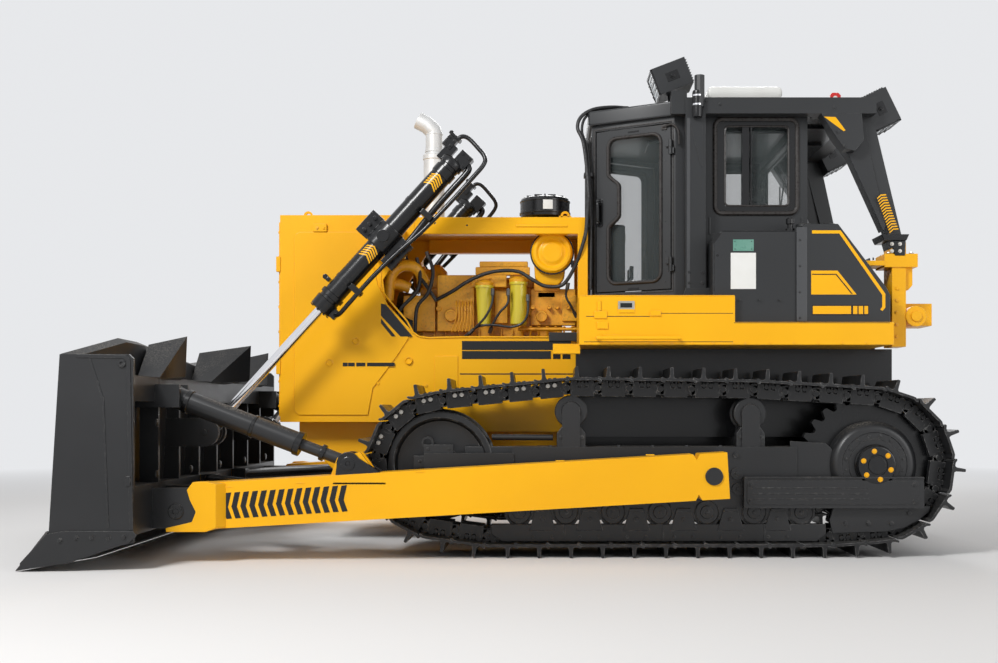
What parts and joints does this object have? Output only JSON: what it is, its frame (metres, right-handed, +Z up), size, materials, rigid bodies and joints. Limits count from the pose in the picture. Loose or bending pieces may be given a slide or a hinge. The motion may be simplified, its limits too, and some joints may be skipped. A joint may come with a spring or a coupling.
{
  "type": "bulldozer",
  "caption": "Crawler bulldozer with a semi-U blade on push arms, two lift cylinders, an enclosed cab with swing doors and a roll-over frame.",
  "frame": {"origin": "on the ground under the middle of the whole machine, blade included", "axes": "+X to the rear, -X to the blade, +Y to the machine's right, +Z up"},
  "size_m": [6.5314, 4.13, 3.7416],
  "materials": {
    "yellow_paint": "satin machine paint",
    "black_paint": "semi-gloss black paint",
    "cab_paint": "satin charcoal paint",
    "track_steel": "black paint worn on the edges",
    "engine_paint": "glossy machine paint",
    "exhaust_metal": "silver heat-proof paint",
    "chrome": "polished hard chrome",
    "glass": "tinted safety glass",
    "seat_cloth": "woven seat cloth",
    "white_plastic": "moulded cover"
  },
  "bodies": {
    "tractor": {"main_frame": "black_paint", "engine_frame": "yellow_paint", "radiator_guard": "yellow_paint", "radiator_grille": "black_paint", "radiator": "black_paint", "hood": "yellow_paint", "engine": "engine_paint", "air_cleaner": "yellow_paint", "precleaner": "black_paint", "exhaust_stack": "exhaust_metal", "fender_left": "yellow_paint", "fender_right": "yellow_paint", "side_tank_left": "cab_paint", "side_tank_right": "cab_paint", "fuel_tank": "cab_paint", "cab_shell": "cab_paint", "cab_roof": "cab_paint", "windshield": "glass", "rear_glass": "glass", "side_glass_left": "glass", "side_glass_right": "glass", "operator_seat": "seat_cloth", "control_console": "cab_paint", "rops_frame": "cab_paint", "ac_unit": "white_plastic", "track_frame_left": "black_paint", "track_frame_right": "black_paint", "track_left": "track_steel", "track_right": "track_steel", "idler_left": "track_steel", "idler_right": "track_steel", "sprocket_left": "track_steel", "sprocket_right": "track_steel"},
    "dozer": {"blade": "black_paint", "push_arm_left": "yellow_paint", "push_arm_right": "yellow_paint", "pitch_brace_left": "black_paint", "tilt_cylinder_right": "black_paint"},
    "lift_barrel_left": {"lift_barrel_left": "black_paint"},
    "lift_barrel_right": {"lift_barrel_right": "black_paint"},
    "lift_rod_left": {"lift_rod_left": "chrome"},
    "lift_rod_right": {"lift_rod_right": "chrome"},
    "door_left": {"door_left": "cab_paint", "door_glass_left": "glass"},
    "door_right": {"door_right": "cab_paint", "door_glass_right": "glass"}
  },
  "joints": [
    {"name": "dozer_lift", "type": "hinge", "parent": "tractor", "child": "dozer", "pos_m": [1.41125, 0, 0.606], "axis": [0, 1, 0], "range_deg": [-7, 13]},
    {"name": "lift_cylinder_swing_left", "type": "hinge", "parent": "tractor", "child": "lift_barrel_left", "pos_m": [-0.97775, -0.95, 2.367], "axis": [0, 1, 0], "range_deg": [-9.5, 17]},
    {"name": "lift_rod_stroke_left", "type": "slide", "parent": "lift_barrel_left", "child": "lift_rod_left", "axis": [-0.6718, 0, -0.7407], "range_m": [-0.67, 0.37]},
    {"name": "lift_cylinder_swing_right", "type": "hinge", "parent": "tractor", "child": "lift_barrel_right", "pos_m": [-0.97775, 0.95, 2.367], "axis": [0, 1, 0], "range_deg": [-9.5, 17]},
    {"name": "lift_rod_stroke_right", "type": "slide", "parent": "lift_barrel_right", "child": "lift_rod_right", "axis": [-0.6718, 0, -0.7407], "range_m": [-0.67, 0.37]},
    {"name": "door_swing_left", "type": "hinge", "parent": "tractor", "child": "door_left", "pos_m": [1.18053, -0.90341, 1.985], "axis": [0, 0, 1], "range_deg": [0, 100]},
    {"name": "door_swing_right", "type": "hinge", "parent": "tractor", "child": "door_right", "pos_m": [1.18053, 0.90341, 1.985], "axis": [0, 0, -1], "range_deg": [0, 100]}
  ],
  "couplings": [
    {"joint": "lift_cylinder_swing_left", "follows": "dozer_lift", "ratio": 1.27},
    {"joint": "lift_rod_stroke_left", "follows": "dozer_lift", "m_per_rad": -2.9},
    {"joint": "lift_cylinder_swing_right", "follows": "dozer_lift", "ratio": 1.27},
    {"joint": "lift_rod_stroke_right", "follows": "dozer_lift", "m_per_rad": -2.9}
  ]
}
